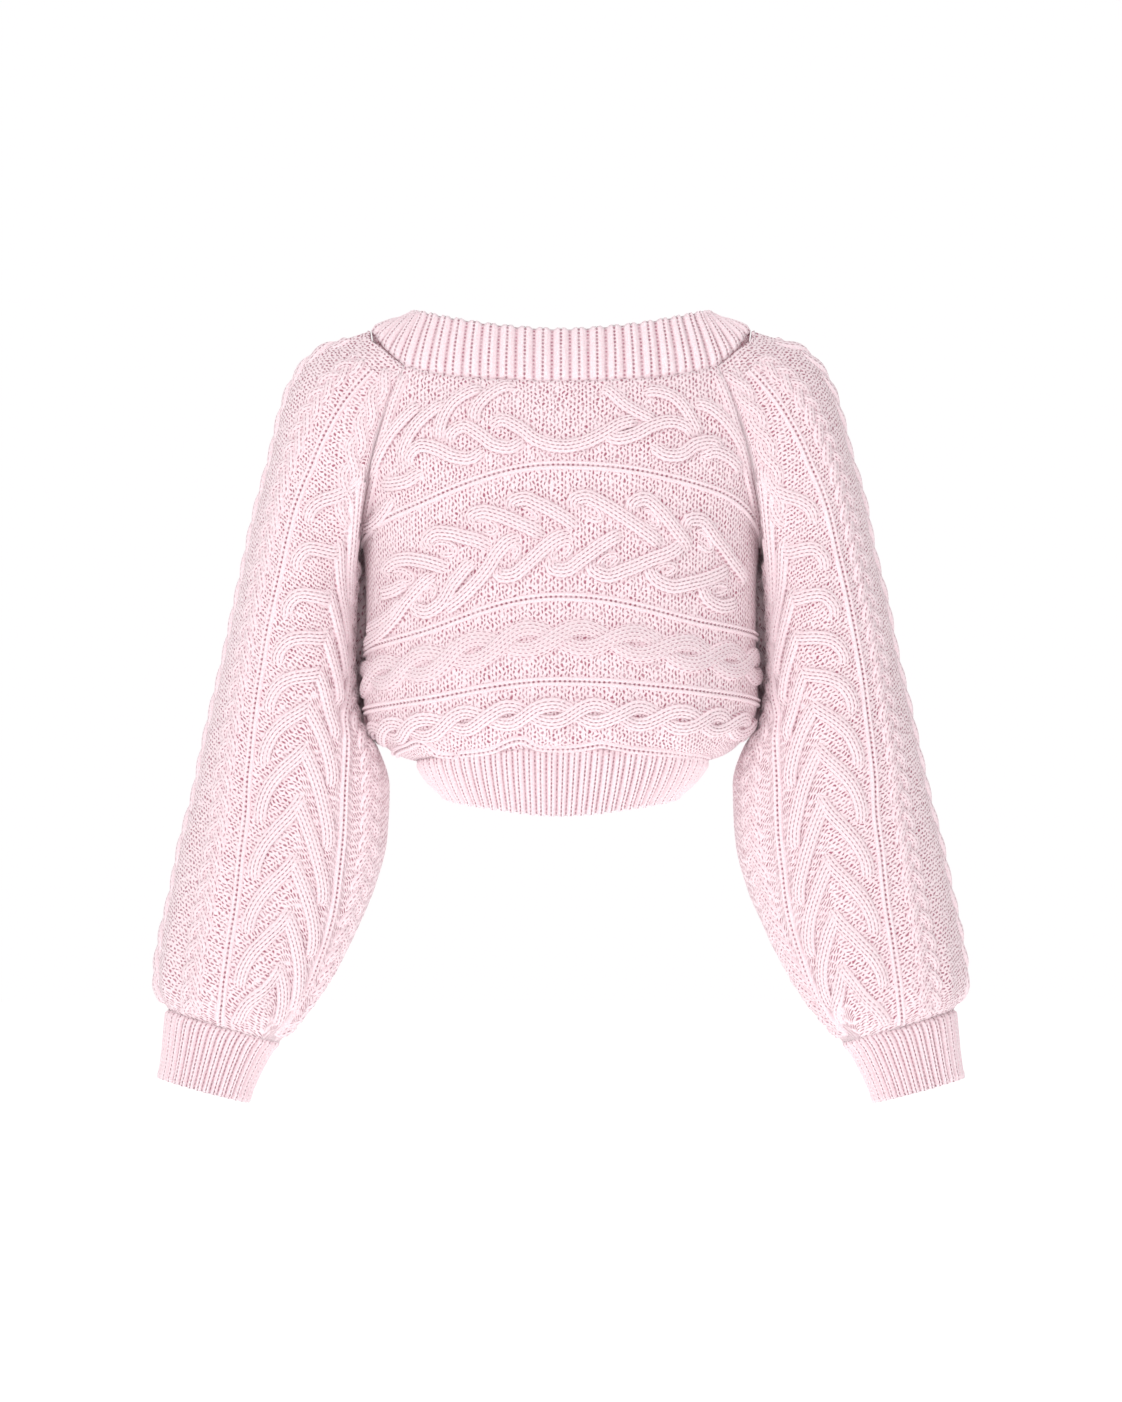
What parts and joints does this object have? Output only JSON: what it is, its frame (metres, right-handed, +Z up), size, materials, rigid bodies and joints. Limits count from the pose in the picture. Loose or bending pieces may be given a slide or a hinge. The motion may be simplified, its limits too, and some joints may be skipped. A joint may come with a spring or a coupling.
{
  "type": "cable-knit bolero, open shrug with raglan balloon sleeves",
  "caption": "Hollow worn-shape knit bolero: cabled back, small open fronts, full sleeves gathered into ribbed cuffs, and a ribbed band round neck, fronts and hem.",
  "frame": {"origin": "middle of the shoulder line, level with the top of the neck band", "axes": "+Z up, -Y the back of the garment, +X to the right seen from behind, which is the wearer's right"},
  "size_m": [0.7056, 0.2232, 0.6768],
  "materials": {
    "cable_knit": "matte brushed yarn in cable knit, pale heathered pink",
    "rib_knit": "matte brushed yarn in two by two rib, pale heathered pink"
  },
  "bodies": {
    "root": {"back": "cable_knit", "front_left": "cable_knit", "front_right": "cable_knit", "sleeve_left": "cable_knit", "sleeve_right": "cable_knit", "cuff_left": "rib_knit", "cuff_right": "rib_knit", "band_neck": "rib_knit", "band_front_left": "rib_knit", "band_front_right": "rib_knit", "band_hem": "rib_knit"}
  },
  "joints": []
}
